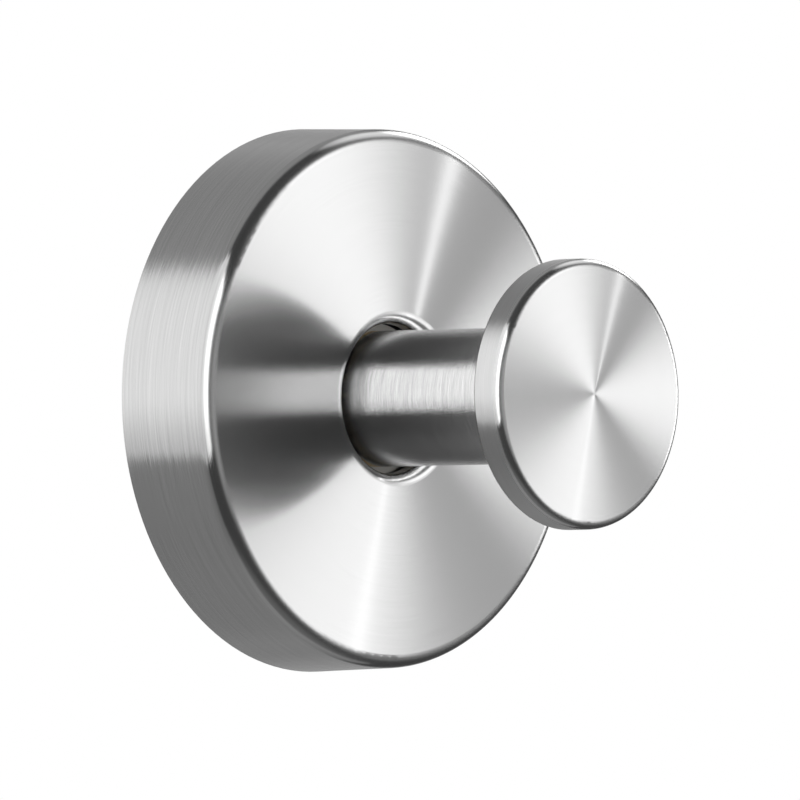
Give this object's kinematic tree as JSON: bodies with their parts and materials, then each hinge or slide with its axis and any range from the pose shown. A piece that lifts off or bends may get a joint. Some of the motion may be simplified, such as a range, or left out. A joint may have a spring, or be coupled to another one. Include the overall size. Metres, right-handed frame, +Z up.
{
  "type": "suction cup hook",
  "caption": "Brushed steel robe hook: a disc knob on a round post, over a round drawn cover with a soft suction pad that turning the knob draws tight on a smooth wall",
  "frame": {"origin": "the middle of the flat face that rests on the wall, on the hook's axis", "axes": "+Y into the wall, -Y out along the hook's axis to the knob, +Z up as it hangs"},
  "size_m": [0.056, 0.0404, 0.056],
  "materials": {
    "soft_pad": "soft clear elastomer, glossy where it seals on the wall",
    "stud_steel": "plain zinc-plated steel with a rolled thread and two flats",
    "housing_plastic": "dark moulded plastic, fine satin",
    "cover_steel": "stainless, brushed round the side wall and in circles on the face",
    "washer_steel": "plain steel washer",
    "washer_plastic": "natural acetal, smooth",
    "insert_brass": "turned brass",
    "post_steel": "stainless tube, brushed round its girth",
    "knob_steel": "stainless, brushed in circles on the front and round the edge"
  },
  "bodies": {
    "wall_unit": {"pressure_housing": "housing_plastic", "cover": "cover_steel", "suction_pad": "soft_pad", "thrust_washer": "washer_steel", "glide_washer": "washer_plastic"},
    "turning_hook": {"post": "post_steel", "post_insert": "insert_brass", "knob": "knob_steel"},
    "stud": {"pad_stud": "stud_steel"}
  },
  "joints": [
    {"name": "hook_turn", "type": "hinge", "parent": "wall_unit", "child": "turning_hook", "pos_m": [0, 0, 0], "axis": [0, -1, 0], "range_deg": [0, 900]},
    {"name": "stud_slide", "type": "slide", "parent": "wall_unit", "child": "stud", "axis": [0, 1, 0], "range_m": [0, 0.00313], "deforming": ["suction_pad"]}
  ],
  "couplings": [
    {"joint": "stud_slide", "follows": "hook_turn", "m_per_rad": 0.00019894}
  ]
}
